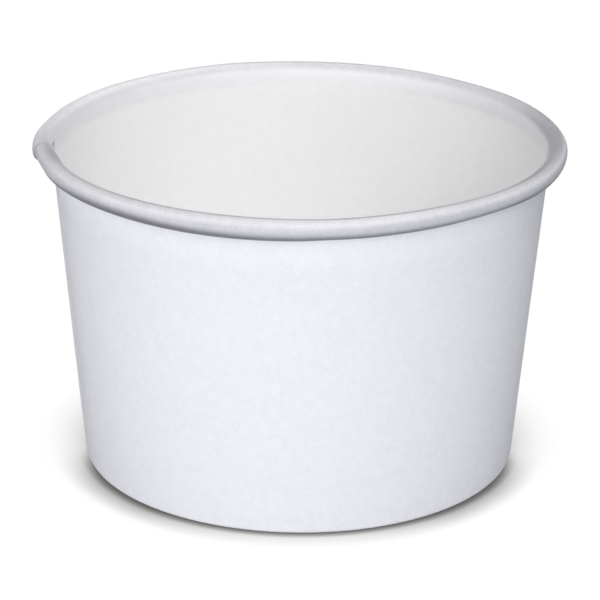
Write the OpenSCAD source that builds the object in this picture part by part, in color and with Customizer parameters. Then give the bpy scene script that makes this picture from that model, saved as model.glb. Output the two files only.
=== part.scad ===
// Paper sundae cup: a fan-shaped board blank wrapped into a tapered wall,
// lapped and sealed along one side seam, rolled outwards at the rim and turned
// in at the foot round the skirt of a separate drawn bottom disc.
// Millimetres, +Z up, origin on the table at the centre of the foot.

/* [Cup] */
// Outside diameter of the rolled rim
rim_d = 96; // [84:0.5:110]
// Height from the table to the top of the rim
cup_h = 60.5; // [40:0.5:100]
// Outside diameter of the foot, where the wall would meet the table
foot_d = 80; // [64:0.5:88]

/* [Board] */
// Thickness of the sidewall board
wall_t = 0.5; // [0.35:0.05:0.6]
// Thickness of the bottom disc's board
base_t = 0.4; // [0.3:0.05:0.6]
// Film of sealant between the bottom disc's skirt and the boards on either side of it
seal_gap = 0.05; // [0.04:0.01:0.08]

/* [Rolled rim] */
// Diameter of the roll, in section
roll_d = 3.5; // [3:0.1:5]
// Gap between the wall and the edge tucked inside the roll
tuck_gap = 0.2; // [0.1:0.05:0.3]

/* [Foot] */
// Depth of the recess under the bottom disc
recess_h = 7; // [6.8:0.1:12]
// Height of the turned-in hem
hem_h = 5.5; // [3:0.25:5.75]
// Depth to which the folded edge is pressed flat on the table
press_h = 0.06; // [0.03:0.01:0.12]
// Outside radius of the bend between the bottom disc and its skirt
bend_r = 1; // [0.8:0.1:2]

/* [Side seam] */
// Width of the overlap, round the rim
lap_w = 6; // [4:0.5:12]
// Length over which the outer ply climbs on to the inner one, round the rim
climb_w = 15; // [13:0.5:24]
// Direction of the overlap's outer edge, in degrees from +X
seam_a = 188; // [0:1:359]
// Depth to which the two plies are pressed into each other
lap_bed = 0.02; // [0.01:0.01:0.04]
// Height of the outer ply's lower edge above the fold
lap_lift = 0.4; // [0.2:0.1:2]

/* [Hidden] */
$fn = 96;

// Values worked out below keep to whole microns and to thousandths of a degree
steps_share = 1000;
function kept(x) = round(x * steps_share) / steps_share;

// Roll: its centre, and the tighter turn that its edge is tucked into
roll_r = roll_d / 2;
roll_x = rim_d / 2 - roll_r;
roll_z = cup_h - roll_r;
roll_out = roll_r - wall_t;
tuck_r = roll_out - tuck_gap;
// Angle at which the tucked edge is cut off, seen from the wall
tuck_end_a = 70;

// Wall: the lean at which its inner face runs into the roll without a kink
foot_r = foot_d / 2;
lean_a = acos(roll_out / norm([roll_x - foot_r, roll_z])) - atan2(roll_z, roll_x - foot_r);
wall_l = kept((roll_x - foot_r) * sin(lean_a) + roll_z * cos(lean_a));

// Foot: a fold round the skirt, in the wall's own frame, x out of its outer face and y up it
channel_w = base_t + 2 * seal_gap;
fold_r = wall_t + channel_w / 2;
fold_y = kept((fold_r - press_h - fold_r * sin(lean_a)) / cos(lean_a));

// Bottom disc: the bend between disc and skirt, turned in two parts that run into each other
bend_z = recess_h + base_t - bend_r;
skirt_x = wall_t + seal_gap;
bend_y = kept((bend_z - (skirt_x + bend_r) * sin(lean_a)) / cos(lean_a));
bend_low_a = 60;
bend_high_a = 30;

// Side seam: the wrap leaves the round wall on a flatter arc and comes back on a tighter one
lap_a = kept(360 * lap_w / (PI * rim_d));
half_climb_a = kept(180 * climb_w / (PI * rim_d));
tongue_a = seam_a - lap_a;
climb_mid_a = tongue_a - half_climb_a;
climb_start_a = climb_mid_a - half_climb_a;
lap_out = (wall_t - lap_bed) / cos(lean_a);
flat_shift = lap_out / (2 * (1 - cos(half_climb_a)));
tight_shift = flat_shift * (1 - 2 * cos(half_climb_a));
// Under the climb the hem hangs on a strip bedded in the ply, as high as the bottom disc hides it
strip_in = seal_gap / 2;
strip_out = lap_bed / 2;
strip_l = bend_y;

// Points of a pie slice from one angle to another, wide enough to hold a circle of that radius
slice_reach_share = 2;
slice_step_a = 30;
function slice(r, from, to) = [
    [0, 0],
    for (i = [0 : ceil((to - from) / slice_step_a)])
        let (a = min(from + i * slice_step_a, to)) slice_reach_share * r * [cos(a), sin(a)]
];

// Moves in two steps, a whole number of microns and then the rest
module moved(v) {
    whole = [for (x = v) kept(x)];
    translate(whole) translate(v - whole) children();
}

// Puts a shape drawn in the wall's own frame on to the cup's section
module on_wall() {
    translate([foot_r, 0]) rotate(-lean_a) children();
}

// Board of one thickness bent to an arc
module bent_board(r, t, from, to) {
    intersection() {
        difference() {
            circle(r);
            circle(r - t);
        }
        polygon(slice(r, from, to));
    }
}

// Straight board between two depths behind the wall's outer face and two heights up it
module flat_board(out, in, low, high) {
    translate([-in, low]) square([in - out, high - low]);
}

// One ply of the wall: up from a given height, over the top, down outside and tucked up inside
module ply_section(low) {
    on_wall() {
        flat_board(0, wall_t, low, wall_l);
        translate([roll_out, wall_l]) {
            bent_board(roll_r, wall_t, -90, 180);
            translate([0, tuck_r - roll_r]) bent_board(tuck_r, wall_t, tuck_end_a, 270);
        }
    }
}

// Foot folded in and up to the hem, pressed flat where it stands
module fold_section() {
    intersection() {
        on_wall() {
            translate([-fold_r, fold_y]) bent_board(fold_r, wall_t, 180, 360);
            flat_board(wall_t + channel_w, 2 * wall_t + channel_w, fold_y, fold_y + hem_h);
        }
        square([rim_d, cup_h]);
    }
}

// Turns a section round the cup between two directions, on an arc whose centre lies off the
// cup's axis by a distance in a given direction, with the section moved in or out to suit
module turned(from, to, shift = 0, off = 0, off_a = 0) {
    moved([off * cos(off_a), off * sin(off_a), 0])
        rotate_extrude(angle = to - from, start = from)
            moved([shift, 0]) children();
}

// Wall blank, wrapped: the round wall, the foot under the climb, the inner ply's tongue, the
// two climbing arcs and the outer ply
module sidewall() {
    color([0.93, 0.93, 0.96])
        union() {
            turned(seam_a, climb_start_a + 360) {
                fold_section();
                ply_section(fold_y);
            }
            turned(climb_start_a, tongue_a) {
                fold_section();
                on_wall() flat_board(strip_out, wall_t + strip_in, fold_y, strip_l);
            }
            turned(tongue_a, seam_a) {
                fold_section();
                on_wall() flat_board(0, wall_t, fold_y, wall_l);
            }
            turned(climb_start_a, climb_mid_a, flat_shift, -flat_shift, climb_start_a)
                ply_section(fold_y + lap_lift);
            turned(climb_mid_a, tongue_a, tight_shift, flat_shift, tongue_a)
                ply_section(fold_y + lap_lift);
            turned(tongue_a, seam_a, lap_out)
                ply_section(fold_y + lap_lift);
        }
}

// Bottom disc, drawn from flat board with a skirt turned down into the fold
module disc_section() {
    intersection() {
        on_wall() {
            flat_board(skirt_x, skirt_x + base_t, fold_y, bend_y);
            translate([-skirt_x - bend_r, bend_y]) {
                bent_board(bend_r, base_t, 0, bend_low_a);
                rotate(lean_a) {
                    bent_board(bend_r, base_t, bend_high_a, 90);
                    translate([-foot_r, bend_r - base_t]) square([foot_r, base_t]);
                }
            }
        }
        square([rim_d, cup_h]);
    }
}

module bottom_disc() {
    color([0.94, 0.94, 0.94]) rotate_extrude() disc_section();
}

sidewall();
bottom_disc();
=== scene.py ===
"""Looks of the paper sundae cup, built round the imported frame."""

import math

import bpy
from mathutils import Matrix, Vector


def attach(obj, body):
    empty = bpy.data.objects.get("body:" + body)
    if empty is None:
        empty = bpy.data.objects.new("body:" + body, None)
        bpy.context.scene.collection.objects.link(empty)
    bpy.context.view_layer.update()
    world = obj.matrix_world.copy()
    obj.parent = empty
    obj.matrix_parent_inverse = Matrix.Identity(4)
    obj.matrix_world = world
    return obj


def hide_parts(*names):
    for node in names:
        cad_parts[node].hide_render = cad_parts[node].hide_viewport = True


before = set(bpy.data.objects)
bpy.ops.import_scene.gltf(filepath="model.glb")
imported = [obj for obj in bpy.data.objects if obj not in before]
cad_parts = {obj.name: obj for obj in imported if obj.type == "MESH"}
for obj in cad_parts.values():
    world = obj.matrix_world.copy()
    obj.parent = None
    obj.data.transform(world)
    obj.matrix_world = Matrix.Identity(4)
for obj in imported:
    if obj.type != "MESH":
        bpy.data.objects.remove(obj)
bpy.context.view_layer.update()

MM = 0.001
DEG = math.pi / 180
# Points closer than this, in metres, are one, and edges sharper than this angle stay sharp
WELD = 1e-6
SHARP = 50 * DEG

# Sizes of the cup, in millimetres, as the CAD part has them
RIM_D = 96.0
CUP_H = 60.5
FOOT_D = 80.0
WALL_T = 0.5
BASE_T = 0.4
SEAL_GAP = 0.05
ROLL_D = 3.5
TUCK_GAP = 0.2
TUCK_END = 70.0
RECESS_H = 7.0
HEM_H = 5.5
PRESS_H = 0.06
BEND_R = 1.0
LAP_W = 6.0
CLIMB_W = 15.0
SEAM = 188.0
LAP_BED = 0.02

ROLL_R = ROLL_D / 2
FOOT_R = FOOT_D / 2
ROLL_OUT = ROLL_R - WALL_T
TUCK_R = ROLL_OUT - TUCK_GAP
ROLL_DX = RIM_D / 2 - ROLL_R - FOOT_R
ROLL_Z = CUP_H - ROLL_R
LEAN = math.acos(ROLL_OUT / math.hypot(ROLL_DX, ROLL_Z)) - math.atan2(ROLL_Z, ROLL_DX)
WALL_L = ROLL_DX * math.sin(LEAN) + ROLL_Z * math.cos(LEAN)
CHANNEL_W = BASE_T + 2 * SEAL_GAP
FOLD_R = WALL_T + CHANNEL_W / 2
FOLD_Y = (FOLD_R - PRESS_H - FOLD_R * math.sin(LEAN)) / math.cos(LEAN)
SKIRT_X = WALL_T + SEAL_GAP
BEND_Z = RECESS_H + BASE_T - BEND_R
BEND_Y = (BEND_Z - (SKIRT_X + BEND_R) * math.sin(LEAN)) / math.cos(LEAN)
LAP = 360 * LAP_W / (math.pi * RIM_D)
CLIMB = 360 * CLIMB_W / (math.pi * RIM_D)
LAP_OUT = (WALL_T - LAP_BED) / math.cos(LEAN)
# 1 leaves the foot's fold round, less presses its corners out
FOLD_PRESS = 0.5
# On the wall the outer ply takes this share of the lap's step, and the inner one dips over this many degrees
CLIMB_SHARE = 0.15
DIP = 16.0


class Field:
    """A value in a node tree that sums, products and functions can be written on."""

    def __init__(self, tree, socket):
        self.tree, self.socket = tree, socket

    def op(self, kind, *others):
        node = self.tree.nodes.new("ShaderNodeMath")
        node.operation = kind
        for slot, value in enumerate((self, *others)):
            if isinstance(value, Field):
                self.tree.links.new(value.socket, node.inputs[slot])
            else:
                node.inputs[slot].default_value = value
        return Field(self.tree, node.outputs[0])

    def __add__(self, other):
        return self.op("ADD", other)

    def __sub__(self, other):
        return self.op("SUBTRACT", other)

    def __mul__(self, other):
        return self.op("MULTIPLY", other)

    def __truediv__(self, other):
        return self.op("DIVIDE", other)

    def sin(self):
        return self.op("SINE")

    def cos(self):
        return self.op("COSINE")

    def at_least(self, other):
        return self.op("MAXIMUM", other)

    def at_most(self, other):
        return self.op("MINIMUM", other)

    def above(self, other):
        return self.op("GREATER_THAN", other)

    def below(self, other):
        return self.op("LESS_THAN", other)

    def power(self, other):
        return self.op("POWER", other)

    def share(self, low, high):
        """0 below low, 1 above high and even in between."""
        return ((self - low) / (high - low)).at_least(0.0).at_most(1.0)

    def eased(self):
        """A 0 to 1 share, started and ended gently."""
        return self * self * (self * -2.0 + 3.0)

    def rest(self):
        """What a share leaves of 1."""
        return self * -1.0 + 1.0

    def band(self, rise, fall):
        """A share that grows over one stretch and goes again over a later one."""
        return self.share(*rise) * self.share(*fall).rest()

    def near(self, centre, width):
        """A smooth hump round the cup: 1 at that direction, small beyond that many degrees."""
        spread = 1 - math.cos(width * DEG)
        return (((self - centre * DEG).cos() - 1.0) / spread).op("EXPONENT")


class Tree:
    """A Geometry Nodes tree with named inputs, written as fields."""

    def __init__(self, name):
        self.tree = bpy.data.node_groups.new(name, "GeometryNodeTree")
        self.tree.interface.new_socket("Geometry", in_out="OUTPUT", socket_type="NodeSocketGeometry")
        self.source = self.tree.nodes.new("NodeGroupInput")
        self.values = {}

    def size(self, name, value):
        item = self.tree.interface.new_socket(name, in_out="INPUT", socket_type="NodeSocketFloat")
        self.values[item.identifier] = value
        return Field(self.tree, self.source.outputs[name])

    def add(self, kind, settings=None, **links):
        node = self.tree.nodes.new(kind)
        for key, value in (settings or {}).items():
            setattr(node, key, value)
        for key, value in links.items():
            self.put(node.inputs[key.replace("_", " ")], value)
        return node

    def put(self, socket, value):
        if isinstance(value, Field):
            self.tree.links.new(value.socket, socket)
        elif isinstance(value, bpy.types.NodeSocket):
            self.tree.links.new(value, socket)
        else:
            socket.default_value = value

    def vector(self, x, y, z):
        node = self.tree.nodes.new("ShaderNodeCombineXYZ")
        for socket, value in zip(node.inputs, (x, y, z)):
            self.put(socket, value)
        return node.outputs[0]

    def noise(self, where, scale, detail):
        node = self.tree.nodes.new("ShaderNodeTexNoise")
        node.inputs["Scale"].default_value = scale
        node.inputs["Detail"].default_value = detail
        self.tree.links.new(where, node.inputs["Vector"])
        return Field(self.tree, node.outputs[0]) - 0.5

    def store(self, geometry, name, value):
        node = self.tree.nodes.new("GeometryNodeStoreNamedAttribute")
        node.data_type, node.domain = "FLOAT", "POINT"
        node.inputs["Name"].default_value = name
        self.tree.links.new(geometry, node.inputs["Geometry"])
        self.put(next(s for s in node.inputs if s.name == "Value" and s.enabled), value)
        return node.outputs[0]

    def stored(self, name):
        node = self.tree.nodes.new("GeometryNodeInputNamedAttribute")
        node.data_type = "FLOAT"
        node.inputs["Name"].default_value = name
        return Field(self.tree, next(s for s in node.outputs if s.name == "Attribute" and s.enabled))

    def grid(self, columns, rows):
        """A flat grid with a point at each column and row number, and those numbers as fields."""
        node = self.add("GeometryNodeMeshGrid")
        for key, value in (("Size X", columns), ("Size Y", rows)):
            node.inputs[key].default_value = value
        node.inputs["Vertices X"].default_value = columns + 1
        node.inputs["Vertices Y"].default_value = rows + 1
        place = self.tree.nodes.new("ShaderNodeSeparateXYZ")
        self.tree.links.new(self.add("GeometryNodeInputPosition").outputs[0], place.inputs[0])
        column = Field(self.tree, place.outputs[0]) + columns / 2
        row = Field(self.tree, place.outputs[1]) + rows / 2
        geometry = self.store(node.outputs["Mesh"], "column", column)
        geometry = self.store(geometry, "row", row)
        return geometry, self.stored("column"), self.stored("row")

    def wrap(self, geometry, around, radius, height):
        """Puts each point at its direction, radius and height round the cup, in millimetres."""
        node = self.add("GeometryNodeSetPosition")
        self.tree.links.new(geometry, node.inputs["Geometry"])
        place = self.vector(around.cos() * radius * MM, around.sin() * radius * MM, height * MM)
        self.tree.links.new(place, node.inputs["Position"])
        return node.outputs["Geometry"]

    def finish(self, geometry, material):
        """Welds points that meet, shades the sheet smooth and ends the tree."""
        node = self.add("GeometryNodeMergeByDistance", Distance=WELD)
        self.tree.links.new(geometry, node.inputs["Geometry"])
        geometry = node.outputs["Geometry"]
        for kind in ("GeometryNodeSetShadeSmooth", "GeometryNodeRealizeInstances", "GeometryNodeSetMaterial"):
            node = self.add(kind)
            self.tree.links.new(geometry, node.inputs["Geometry"])
            geometry = node.outputs["Geometry"]
        node.inputs["Material"].default_value = material
        out = self.tree.nodes.new("NodeGroupOutput")
        self.tree.links.new(geometry, out.inputs["Geometry"])


def straight(share, length, heading):
    """Step along a straight board, for a share of its length, heading in degrees."""
    return share * (length * math.cos(heading * DEG)), share * (length * math.sin(heading * DEG))


def bent(share, radius, start, turn):
    """Step round an arc, for a share of its turn, from its start angle."""
    angle = share * (turn * DEG) + start * DEG
    return (
        (angle.cos() - math.cos(start * DEG)) * radius,
        (angle.sin() - math.sin(start * DEG)) * radius,
    )


def pressed_fold(share, radius):
    """Step round a fold from its inner to its outer side, its corners pressed towards a square."""
    angle = share * math.pi
    out, down = angle.cos() * -1.0, angle.sin()
    return (
        (out.op("SIGN") * out.op("ABSOLUTE").power(FOLD_PRESS) + 1.0) * radius,
        down.at_least(0.0).power(FOLD_PRESS) * -radius,
    )


def plain_mesh(draft, name):
    """The mesh an object's modifiers make; the object itself goes."""
    graph = bpy.context.evaluated_depsgraph_get()
    mesh = bpy.data.meshes.new_from_object(
        draft.evaluated_get(graph), preserve_all_data_layers=True, depsgraph=graph
    )
    mesh.name = name
    bpy.data.objects.remove(draft)
    return mesh


def solid_piece(name, tree, thickness, materials):
    """Runs a tree, gives its sheet the board's thickness and keeps the result as a plain mesh."""
    draft = bpy.data.objects.new(name + "_draft", bpy.data.meshes.new(name + "_draft"))
    bpy.context.scene.collection.objects.link(draft)
    nodes = draft.modifiers.new("blank", "NODES")
    nodes.node_group = tree.tree
    for identifier, value in tree.values.items():
        nodes[identifier] = value
    sheet = bpy.data.objects.new(name + "_sheet", plain_mesh(draft, name + "_sheet"))
    sheet.data.materials.clear()
    for material in materials:
        sheet.data.materials.append(material)
    bpy.context.scene.collection.objects.link(sheet)
    thicken = sheet.modifiers.new("board", "SOLIDIFY")
    thicken.thickness = thickness
    thicken.offset = 0
    thicken.use_quality_normals = True
    thicken.material_offset = 1
    thicken.material_offset_rim = 2
    mesh = plain_mesh(sheet, name)
    mesh.set_sharp_from_angle(angle=SHARP)
    piece = bpy.data.objects.new(name, mesh)
    bpy.context.scene.collection.objects.link(piece)
    return piece


# Board surface: scale, per metre, and detail of its clouds, specks and fibres
CLOUDS = (600, 4)
SPECKS = (2500, 2)
FIBRES = (1800, 3)
# How far a speck stands out, as a share of a fibre
SPECK_RELIEF = 0.8


def fibre_group():
    """Board surface: a cloudy, specked tone and a fine fibre relief."""
    group = bpy.data.node_groups.new("board_surface", "ShaderNodeTree")
    depths = ("Cloud", "Speck", "Relief")
    for name in depths:
        group.interface.new_socket(name, in_out="INPUT", socket_type="NodeSocketFloat")
    for name in ("Tone", "Height"):
        group.interface.new_socket(name, in_out="OUTPUT", socket_type="NodeSocketFloat")
    nodes, links = group.nodes, group.links
    source, sink = nodes.new("NodeGroupInput"), nodes.new("NodeGroupOutput")
    depth = {name: Field(group, source.outputs[name]) for name in depths}
    place = nodes.new("ShaderNodeTexCoord").outputs["Object"]

    def noise(scale, detail):
        node = nodes.new("ShaderNodeTexNoise")
        node.inputs["Scale"].default_value = scale
        node.inputs["Detail"].default_value = detail
        links.new(place, node.inputs["Vector"])
        return Field(group, node.outputs[0]) - 0.5

    cloud, speck, fibre = noise(*CLOUDS), noise(*SPECKS), noise(*FIBRES)
    tone = cloud * depth["Cloud"] + speck * depth["Speck"] + 1.0
    height = (fibre + speck * SPECK_RELIEF) * depth["Relief"]
    links.new(tone.socket, sink.inputs["Tone"])
    links.new(height.socket, sink.inputs["Height"])
    return group


FIBRE = fibre_group()


def board(name, colour, roughness, specular, cloud, speck, relief):
    """A board of one colour; two of its nodes are named, so that tones can be laid under its grain."""
    material = bpy.data.materials.new(name)
    material.use_nodes = True
    nodes, links = material.node_tree.nodes, material.node_tree.links
    shader = nodes["Principled BSDF"]
    surface = nodes.new("ShaderNodeGroup")
    surface.name = "surface"
    surface.node_tree = FIBRE
    for key, value in (("Cloud", cloud), ("Speck", speck), ("Relief", relief)):
        surface.inputs[key].default_value = value
    tint = nodes.new("ShaderNodeMix")
    tint.name = "tint"
    tint.data_type, tint.blend_type = "RGBA", "MULTIPLY"
    tint.inputs[0].default_value = 1.0
    tint.inputs[6].default_value = (*colour, 1)
    links.new(surface.outputs["Tone"], tint.inputs[7])
    links.new(tint.outputs[2], shader.inputs["Base Color"])
    shader.inputs["Roughness"].default_value = roughness
    shader.inputs["Specular IOR Level"].default_value = specular
    bump = nodes.new("ShaderNodeBump")
    bump.inputs["Strength"].default_value = 1.0
    bump.inputs["Distance"].default_value = 1.0
    links.new(surface.outputs["Height"], bump.inputs["Height"])
    links.new(bump.outputs["Normal"], shader.inputs["Normal"])
    return material


# Finishes of the board; relief is in metres
BARE = {"roughness": 0.75, "specular": 0.25, "cloud": 0.10, "speck": 0.13, "relief": 16e-6}
COATED = {"roughness": 0.5, "specular": 0.4, "cloud": 0.06, "speck": 0.02, "relief": 3e-6}
CUT = {"roughness": 0.9, "specular": 0.1, "cloud": 0.03, "speck": 0.06, "relief": 12e-6}
outside = board("board_outside", (0.768, 0.766, 0.796), **BARE)
inside = board("board_inside", (0.9, 0.9, 0.905), **COATED)
# Painted shade: the bottom's inside is darker than the wall's inside, so the deep of the cup is dimmer
base_inside_shaded = board("board_base_shaded", (0.75, 0.75, 0.755), **COATED)
edge = board("board_edge", (0.58, 0.58, 0.59), **CUT)


def paint(material, mask, colour):
    """Lays a colour over a board where a mask says so, under the board's grain."""
    nodes, links = material.node_tree.nodes, material.node_tree.links
    ground = nodes["tint"].inputs[6]
    layer = nodes.new("ShaderNodeMix")
    layer.data_type = "RGBA"
    links.new(mask.socket, layer.inputs[0])
    if ground.is_linked:
        links.new(ground.links[0].from_socket, layer.inputs[6])
    else:
        layer.inputs[6].default_value = ground.default_value
    layer.inputs[7].default_value = (*colour, 1)
    links.new(layer.outputs[2], ground)


def places(material):
    """Object coordinates as one vector and as three fields."""
    tree = material.node_tree
    place = tree.nodes.new("ShaderNodeTexCoord").outputs["Object"]
    axes = tree.nodes.new("ShaderNodeSeparateXYZ")
    tree.links.new(place, axes.inputs[0])
    return place, *(Field(tree, socket) for socket in axes.outputs)


def fade_up(material, low, high, colour):
    """Another tone towards the rim, reached between two heights in millimetres; it also lays painted light
    and shade.
    """
    z = places(material)[3]
    paint(material, z.share(low * MM, high * MM), colour)


# Tones towards the rim: the height where each starts, where it is reached, and its colour; the outside's and
# the inside's are painted light and shade
FADES = [
    # Painted light: the outside paler just below the roll, against the roll's shadow on the wall
    (outside, 50.0, 56.0, (0.87, 0.868, 0.898)),
    (edge, 52.0, 56.0, (0.34, 0.34, 0.36)),
    # Painted shade: the inside darker just below the roll
    (inside, 55.5, 58.0, (0.82, 0.825, 0.845)),
]
for fade in FADES:
    fade_up(*fade)

# Painted shade of a crease inside: height, width and wander in millimetres, and noise scale, per metre, of
# its breaks
CREASE_Z = 56.9
CREASE_W = 0.42
CREASE_WANDER = 0.8
CREASE_BREAKS = 220.0
# Noise levels between which it breaks off, where it is strongest and how faint it is elsewhere
CREASE_GAPS = (-0.12, 0.08)
CREASE_AT = (36.0, 16.0)
CREASE_FAINT = 0.3


def paint_crease_shade(material, colour):
    """Painted shade of a faint broken crease inside, just below the rolled rim, strongest on one side."""
    tree = material.node_tree
    place, x, y, z = places(material)
    breaks = tree.nodes.new("ShaderNodeTexNoise")
    breaks.inputs["Scale"].default_value = CREASE_BREAKS
    breaks.inputs["Detail"].default_value = 1.0
    tree.links.new(place, breaks.inputs["Vector"])
    wander = Field(tree, breaks.outputs[0]) - 0.5
    away = (z - CREASE_Z * MM + wander * (CREASE_WANDER * MM)) / (CREASE_W * MM)
    line = (away * away * -1.0).op("EXPONENT")
    strong = y.op("ARCTAN2", x).near(*CREASE_AT) * (1 - CREASE_FAINT) + CREASE_FAINT
    paint(material, line * strong * wander.share(*CREASE_GAPS), colour)


# Painted shade: a darker broken line where the crease lies
paint_crease_shade(inside, (0.775, 0.78, 0.795))

# Tones of the rolled rim, laid one over another in this order: the roll's own darker tone, and painted light
# and shade over the rim and the wall below it
RIM_TONES_LIGHT_AND_SHADE = [
    # Painted shade: the inside wall darker just below the roll, towards the back right
    ("bend", (0.73, 0.735, 0.75)),
    ("roll", (0.51, 0.51, 0.54)),
    # Painted light: the roll paler towards the back left
    ("pale", (0.71, 0.71, 0.73)),
    # Painted shade: the roll darker towards the right
    ("grey", (0.345, 0.35, 0.375)),
    # Painted highlight: a paler band along the roll's crest, all round
    ("crest", (0.61, 0.61, 0.64)),
    # Painted shade: a dark patch on the roll at the seam's step
    ("seam_shade", (0.36, 0.36, 0.38)),
    # Painted shade: a dark line along the roll's inner shoulder, strongest in front and on the right
    ("brow", (0.25, 0.25, 0.27)),
    # Painted shade: the roll's underside darker, where it tucks against the wall
    ("under", (0.18, 0.175, 0.195)),
    # Painted shade: darker still under the roll on the left and the right
    ("side_under", (0.07, 0.07, 0.08)),
]
# Where they lie across the board, as shares of the roll's turn, or of the wall's rows for the bend
BEND_IN = (0.82, 0.94)
ROLL_IN = (-0.02, 0.18)
SEAM_SHADE_OUT = (0.34, 0.5)
CREST_BAND = (0.40, 0.49), (0.5, 0.6)
BROW_BAND = (0.20, 0.25), (0.30, 0.36)
UNDER_IN = (0.68, 0.84)
SIDE_UNDER_IN = (0.74, 0.86)
# Where they lie round the cup: direction and spread in degrees
BEND_AT = (34.0, 28.0)
PALE_AT = (150.0, 38.0)
GREY_AT = (0.0, 25.0)
SEAM_SHADE_AT = (195.0, 8.0)
FRONT_BROW_AT = (276.0, 75.0)
RIGHT_BROW_AT = (334.0, 15.0)
EARLY_UNDER_AT = (226.0, 30.0)
LEFT_UNDER_AT = (210.0, 14.0)
RIGHT_UNDER_AT = (330.0, 11.0)
# How strong they are there
SEAM_SHADE_DEPTH = 0.8
FRONT_BROW_DEPTH = 0.65
RIGHT_BROW_DEPTH = 0.4
RIGHT_UNDER_DEPTH = 0.7
# How much sooner a tone starts there, as a share of the roll's turn: near the right the roll's tone runs down
# the inside wall as painted shade, and the painted shade under the roll starts sooner in two places
GREY_LEAD = 0.04
EARLY_UNDER_LEAD = 0.10
RIGHT_UNDER_LEAD = 0.06


def tint_roll(material, tones, roughness, cloud, speck, relief):
    """Lays the rim's tone, painted light and painted shade, and gives the rolled rim, where the board is
    drawn tight, a gloss and a grain of its own.
    """
    tree = material.node_tree
    masks = {}
    for name, colour in tones:
        attribute = tree.nodes.new("ShaderNodeAttribute")
        attribute.attribute_name = name
        masks[name] = Field(tree, attribute.outputs["Fac"])
        paint(material, masks[name], colour)
    surface = tree.nodes["surface"].inputs
    for socket, value in (
        (tree.nodes["Principled BSDF"].inputs["Roughness"], roughness),
        (surface["Cloud"], cloud),
        (surface["Speck"], speck),
        (surface["Relief"], relief),
    ):
        plain = socket.default_value
        tree.links.new((masks["roll"] * (value - plain) + plain).socket, socket)


tint_roll(inside, RIM_TONES_LIGHT_AND_SHADE, roughness=0.4, cloud=0.2, speck=0.25, relief=14e-6)


def rim_masks(around, turn, part):
    """Where each of the rim's tones, painted light and painted shade lies, from the direction and the place
    across the board.
    """
    roll = part["roll"]
    # Near the right the roll's tone starts sooner: painted shade down the inside wall below the roll
    on_roll = (turn + around.near(*GREY_AT) * GREY_LEAD).share(*ROLL_IN).eased()
    early = around.near(*EARLY_UNDER_AT) * EARLY_UNDER_LEAD + around.near(*RIGHT_UNDER_AT) * RIGHT_UNDER_LEAD
    # Painted shade along the roll's inner shoulder, in front and on the right
    brow = around.near(*FRONT_BROW_AT) * FRONT_BROW_DEPTH + around.near(*RIGHT_BROW_AT) * RIGHT_BROW_DEPTH
    # Painted shade under the roll, on the left and the right
    side = around.near(*LEFT_UNDER_AT) + around.near(*RIGHT_UNDER_AT) * RIGHT_UNDER_DEPTH
    # Painted shade at the seam's step, on the inner part of the roll
    seam_shade = roll.share(*SEAM_SHADE_OUT).rest() * SEAM_SHADE_DEPTH
    return {
        # Painted shade below the roll, towards the back right
        "bend": part["wall"].share(*BEND_IN).eased() * around.near(*BEND_AT),
        "roll": on_roll,
        # Painted light on the roll, towards the back left
        "pale": on_roll * around.near(*PALE_AT),
        # Painted shade on the roll, towards the right
        "grey": on_roll * around.near(*GREY_AT),
        # Painted highlight along the roll's crest
        "crest": roll.band(*CREST_BAND),
        "seam_shade": on_roll * seam_shade * around.near(*SEAM_SHADE_AT),
        "brow": roll.band(*BROW_BAND) * brow,
        # Painted shade under the roll
        "under": (roll + early).share(*UNDER_IN).eased(),
        "side_under": roll.share(*SIDE_UNDER_IN) * side,
    }


# Sidewall: columns run over the tongue and then once round; rows run from the hem's edge down,
# round the fold, up the wall, round the roll and into its tuck
LAP_COLUMNS = 14
ROUND_COLUMNS = 690
ROWS = {"hem": 5, "fold": 10, "wall": 20, "roll": 22, "tuck": 7}
# The wall's rows crowd towards the rim by this power, and the tongue starts this many rows up
ROW_CROWDING = 1.5
TONGUE_UP = 3
# Shares of the wall over which the lap's step comes in, and over which the outer ply takes it all on
STEP_FROM_FOOT = (0.0, 0.12)
STEP_AT_RIM = (0.75, 0.95)
# Ribs in the hem: how many, how deep in millimetres, and where on the hem they start and end
RIBS = 115
RIB_DEPTH = 0.12
RIB_BAND = (0.1, 0.35), (0.75, 1.0)
# Wall not quite round: depth in millimetres, noise scale and radius, and heights where it comes in
WAVE_DEPTH = 0.10
WAVE_SCALE = 0.05
WAVE_R = 40
WAVE_IN = (0, 20)
# Where the rim is out of true: direction and width in degrees, and push out and up in millimetres
RIM_FAULTS = [
    (196.0, 5.5, -0.30, 0.0),
    (2.0, 7.0, 0.12, 0.0),
    (47.0, 13.0, 0.0, -0.20),
    (108.0, 8.0, 0.0, 0.12),
    (303.0, 20.0, 0.0, 0.30),
]
# Millimetres below the wall's top where such a fault starts and where it is in full
FAULT_START = 26
FAULT_FULL = 1
# Where the roll is thicker or thinner: direction and width in degrees, and share of its size
ROLL_FAULTS = [
    (248.0, 20.0, 0.09),
    (314.0, 12.0, -0.10),
    (276.0, 4.0, -0.03),
    (264.0, 14.0, 0.04),
]


def row_parts(row, rows):
    """How far each stretch of the rows has come, from 0 to 1, and the row that it starts at."""
    part, first, count = {}, {}, 0
    for key, value in rows.items():
        first[key] = count
        count += value
        part[key] = row.share(first[key], count)
    return part, first


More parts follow.
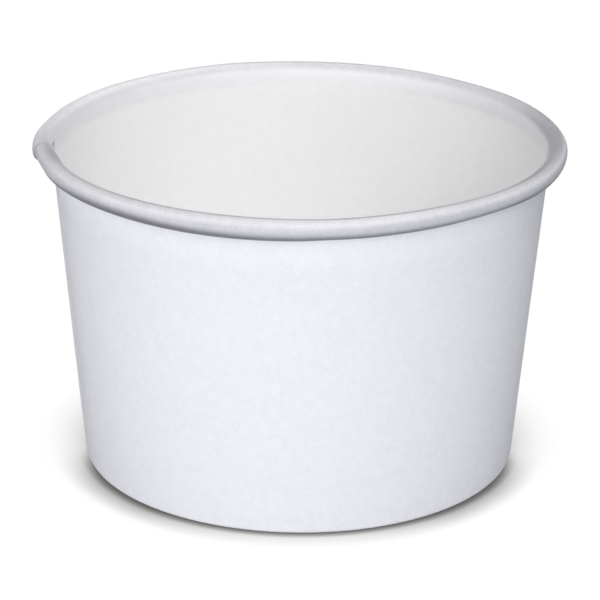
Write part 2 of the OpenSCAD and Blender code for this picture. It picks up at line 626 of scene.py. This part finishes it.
def sidewall_tree():
    """The wall's blank, wrapped round, with its hem, fold, lap and rolled rim."""
    blank = Tree("wrap_blank")
    lean_sin, lean_cos = math.sin(LEAN), math.cos(LEAN)
    thickness = blank.size("Board Thickness", WALL_T)
    lap_out = blank.size("Lap Step", LAP_OUT)
    seam = blank.size("Seam Direction", SEAM * DEG)
    wave = blank.size("Waviness", WAVE_DEPTH)
    rib_depth = blank.size("Rib Depth", RIB_DEPTH)
    columns = LAP_COLUMNS + ROUND_COLUMNS
    geometry, column, row = blank.grid(columns, sum(ROWS.values()))
    part, first = row_parts(row, ROWS)
    roll_start = float(first["roll"])

    # Tongue: the first columns keep only the wall, so the blank's corners are cut away
    face = blank.add("GeometryNodeDeleteGeometry", {"domain": "FACE"})
    blank.tree.links.new(geometry, face.inputs["Geometry"])
    off_wall = row.below(float(first["wall"] + TONGUE_UP)).at_least(row.above(roll_start))
    cut = column.below(float(LAP_COLUMNS)) * off_wall
    blank.put(face.inputs["Selection"], cut.above(0.5))
    geometry = face.outputs["Geometry"]

    # Direction round the cup: the tongue first, then once round
    turned = column.share(0, LAP_COLUMNS) * LAP + column.share(LAP_COLUMNS, columns) * 360
    around = seam + (turned - LAP) * DEG

    turn = (row - roll_start) / float(ROWS["roll"])
    for name, mask in rim_masks(around, turn, part).items():
        geometry = blank.store(geometry, name, mask)

    # Section, in the wall's own frame: x out of its outer face and y up it
    wall_share = part["wall"].rest().power(ROW_CROWDING).rest()
    steps = [
        straight(part["hem"], HEM_H, -90),
        pressed_fold(part["fold"], FOLD_R - WALL_T / 2),
        straight(wall_share, WALL_L - FOLD_Y, 90),
        bent(part["roll"], ROLL_R - WALL_T / 2, 180, -270),
        bent(part["tuck"], TUCK_R - WALL_T / 2, 270, TUCK_END - 270),
    ]
    hem_x = -(WALL_T * 1.5 + CHANNEL_W)
    x = steps[0][0] + hem_x
    y = steps[0][1] + (FOLD_Y + HEM_H)
    for dx, dy in steps[1:3]:
        x, y = x + dx, y + dy
    swell = blank.size("Roll Swell", 1.0)
    for direction, width, more in ROLL_FAULTS:
        swell = swell + around.near(direction, width) * more
    for dx, dy in steps[3:]:
        x, y = x + dx * swell, y + dy * swell
    radius = x * lean_cos + y * lean_sin + FOOT_R
    height = y * lean_cos - x * lean_sin

    # Lap: the outer ply climbs, later at the rim, and the inner one dips
    at_rim = part["wall"].share(*STEP_AT_RIM).eased()
    climb = turned.share(360 - CLIMB, 360).eased()
    climb = climb + (climb.power(2.0) - climb) * at_rim
    outward = at_rim * (1 - CLIMB_SHARE) + CLIMB_SHARE
    dip = turned.share(LAP, LAP + DIP).rest().eased() * at_rim.rest()
    lifted = part["wall"].share(*STEP_FROM_FOOT).eased()
    radius = radius + (climb * outward - dip * (1 - CLIMB_SHARE)) * lifted * lap_out

    # Ribs pressed into the hem from inside
    groove = ((around * float(RIBS)).cos() + 1.0) * 0.5
    radius = radius - groove * part["hem"].band(*RIB_BAND) * rib_depth

    # Rim out of true, and the wall never quite round
    rim_weight = y.share(WALL_L - FAULT_START, WALL_L - FAULT_FULL).power(2.0)
    for direction, width, out, up in RIM_FAULTS:
        hump = around.near(direction, width) * rim_weight
        if out:
            radius = radius + hump * out
        if up:
            height = height + hump * up
    flat = blank.vector(around.cos() * WAVE_R, around.sin() * WAVE_R, height)
    radius = radius + blank.noise(flat, WAVE_SCALE, 1) * y.share(*WAVE_IN) * wave
    height = height.at_least(thickness * 0.5)

    blank.finish(blank.wrap(geometry, around, radius, height), outside)
    return blank


# Bottom: columns run once round, and rows out along the disc, round the bend and down the skirt
BASE_COLUMNS = 360
BASE_ROWS = {"disc": 14, "bend": 8, "skirt": 4}


def bottom_tree():
    """The bottom's disc, drawn down into its skirt."""
    drawn = Tree("drawn_disc")
    thickness = drawn.size("Board Thickness", BASE_T)
    geometry, column, row = drawn.grid(BASE_COLUMNS, sum(BASE_ROWS.values()))
    part, _ = row_parts(row, BASE_ROWS)
    bend_x = FOOT_R - (SKIRT_X + BEND_R) * math.cos(LEAN) + BEND_Y * math.sin(LEAN)
    lean = LEAN / DEG
    steps = [
        straight(part["disc"], bend_x, 0),
        bent(part["bend"], BEND_R - BASE_T / 2, 90, -90 - lean),
        straight(part["skirt"], BEND_Y - FOLD_Y, -90 - lean),
    ]
    radius = steps[0][0] + steps[1][0] + steps[2][0]
    height = steps[0][1] + steps[1][1] + steps[2][1] + (RECESS_H + BASE_T) - thickness * 0.5
    around = column * (2 * math.pi / BASE_COLUMNS)
    drawn.finish(drawn.wrap(geometry, around, radius, height), outside)
    return drawn


wall = solid_piece("cup_sidewall", sidewall_tree(), WALL_T * MM, [outside, inside, edge])
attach(wall, "root")
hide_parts("sidewall")

base = solid_piece("cup_bottom", bottom_tree(), BASE_T * MM, [outside, base_inside_shaded, edge])
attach(base, "root")
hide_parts("bottom_disc")

# Stage: a pale floor under soft light
FLOOR_HALF = 4.0
corners = [(x * FLOOR_HALF, y * FLOOR_HALF, 0) for x, y in ((-1, -1), (1, -1), (1, 1), (-1, 1))]
floor_mesh = bpy.data.meshes.new("floor")
floor_mesh.from_pydata(corners, [], [(0, 1, 2, 3)])
floor = bpy.data.objects.new("floor", floor_mesh)
bpy.context.scene.collection.objects.link(floor)
# The floor shows as a white sweep with a soft shadow close in, and throws less light back than it shows
FLOOR_SHOWN = (1.02, 1.02, 1.02)
FLOOR_BOUNCE = (0.47, 0.49, 0.53)
SHADOW_TINT = (0.10, 0.092, 0.09)
# Shadow: reach in millimetres, forward lean, depth all round, more in front, and share kept dead ahead
SHADOWS = [
    (12.0, 0.6, 0.35, 0.0, 0.5),
    (6.5, 0.0, 0.3, 1.5, 0.3),
    (2.0, 0.0, 0.1, 2.4, 1.0),
]
SHADOW_SAMPLES = 16
# Cosines to straight ahead, towards -Y, over which the front and dead ahead come in
FRONT_IN = (0.1, 0.55)
AHEAD_IN = (0.75, 1.0)


def floor_material():
    """A white floor with a contact shadow that is deeper in front of the cup."""
    look = bpy.data.materials.new("floor")
    look.use_nodes = True
    tree = look.node_tree
    nodes, links = tree.nodes, tree.links
    nodes.remove(nodes["Principled BSDF"])
    x, y = places(look)[1:3]
    forward = y / (x * x + y * y + 1e-9).power(0.5) * -1.0
    front = forward.share(*FRONT_IN).eased()
    ahead = forward.share(*AHEAD_IN)
    lit = None
    for reach, lean, depth, more, kept in SHADOWS:
        near = nodes.new("ShaderNodeAmbientOcclusion")
        near.samples = SHADOW_SAMPLES
        near.inputs["Distance"].default_value = reach * MM
        towards = nodes.new("ShaderNodeCombineXYZ")
        for socket, value in zip(towards.inputs, (0.0, -lean, math.sqrt(1 - lean * lean))):
            socket.default_value = value
        links.new(towards.outputs[0], near.inputs["Normal"])
        strength = (front * more + depth) * (ahead * (kept - 1) + 1.0)
        share = Field(tree, near.outputs["AO"]).power(strength)
        lit = share if lit is None else lit * share
    tone = nodes.new("ShaderNodeMix")
    tone.data_type = "RGBA"
    links.new(lit.socket, tone.inputs[0])
    tone.inputs[6].default_value = (*SHADOW_TINT, 1)
    tone.inputs[7].default_value = (*FLOOR_SHOWN, 1)
    shown = nodes.new("ShaderNodeEmission")
    links.new(tone.outputs[2], shown.inputs["Color"])
    thrown = nodes.new("ShaderNodeBsdfDiffuse")
    thrown.inputs["Color"].default_value = (*FLOOR_BOUNCE, 1)
    both = nodes.new("ShaderNodeMixShader")
    links.new(nodes.new("ShaderNodeLightPath").outputs["Is Camera Ray"], both.inputs[0])
    links.new(thrown.outputs[0], both.inputs[1])
    links.new(shown.outputs[0], both.inputs[2])
    links.new(both.outputs[0], nodes["Material Output"].inputs["Surface"])
    return look


floor_mesh.materials.append(floor_material())

# Lights: name, bearing from the camera's side and rise in degrees, width and height in metres, watts
LIGHTS = [
    ("left_low", -60, 2.5, (1.2, 0.12), 3.7),
    ("front_low", -10, 2.5, (1.2, 0.12), 5.8),
    ("front", 5, 17, (1.0, 0.8), 6.7),
    ("front_high", 13, 44, (1.0, 1.0), 9.1),
    ("top_right", 74, 70, (1.0, 1.0), 6.2),
    ("top", 0, 88, (1.0, 1.0), 4.4),
    ("left", -90, 20, (1.0, 0.8), 3.9),
    ("back", 170, 60, (1.0, 1.0), 9.0),
    ("back_low", 180, 5, (1.6, 0.24), 8.0),
]
# Lights that leave no highlight
DULL = {"back_low"}
LIGHT_AWAY = 1.5
LIT_POINT = Vector((0, 0, 0.03))
WORLD_GLOW = 0.01
for name, bearing, rise, (width, height), power in LIGHTS:
    lamp = bpy.data.lights.new(name, "AREA")
    lamp.shape = "RECTANGLE"
    lamp.size, lamp.size_y = width, height
    lamp.energy = power
    towards = Vector((math.sin(bearing * DEG), -math.cos(bearing * DEG), 0)) * math.cos(rise * DEG)
    towards.z = math.sin(rise * DEG)
    holder = bpy.data.objects.new(name, lamp)
    holder.location = LIT_POINT + towards * LIGHT_AWAY
    holder.rotation_euler = towards.to_track_quat("Z", "Y").to_euler()
    holder.visible_glossy = name not in DULL
    bpy.context.scene.collection.objects.link(holder)
world = bpy.data.worlds.new("studio")
bpy.context.scene.world = world
world.use_nodes = True
glow = world.node_tree.nodes["Background"].inputs
glow["Color"].default_value = (1, 1, 1, 1)
glow["Strength"].default_value = WORLD_GLOW

# Camera at the photograph's viewing angle, with lens and sensor in millimetres
ELEVATION = 21.45 * DEG
ROLL = 0.5 * DEG
AIM = Vector((0, 0, 28.064 * MM))
DISTANCE = 494.71 * MM
LENS = 160.18
SENSOR_W = 36.0
SHIFT_X = 0.0003
SHIFT_Y = 0.0013
ahead = Vector((0, math.cos(ELEVATION), -math.sin(ELEVATION)))
up = Vector((0, math.sin(ELEVATION), math.cos(ELEVATION)))
side = Vector((1, 0, 0))
right = side * math.cos(ROLL) + up * math.sin(ROLL)
above = up * math.cos(ROLL) - side * math.sin(ROLL)
eye = bpy.data.cameras.new("camera")
eye.sensor_fit = "HORIZONTAL"
eye.sensor_width = SENSOR_W
eye.lens = LENS
eye.shift_x = SHIFT_X
eye.shift_y = SHIFT_Y
eye.clip_start = 0.01
camera = bpy.data.objects.new("camera", eye)
turn_eye = Matrix((right, above, -ahead)).transposed().to_4x4()
camera.matrix_world = Matrix.Translation(AIM - ahead * DISTANCE) @ turn_eye
bpy.context.scene.collection.objects.link(camera)
bpy.context.scene.camera = camera
bpy.context.scene.view_settings.view_transform = "Standard"
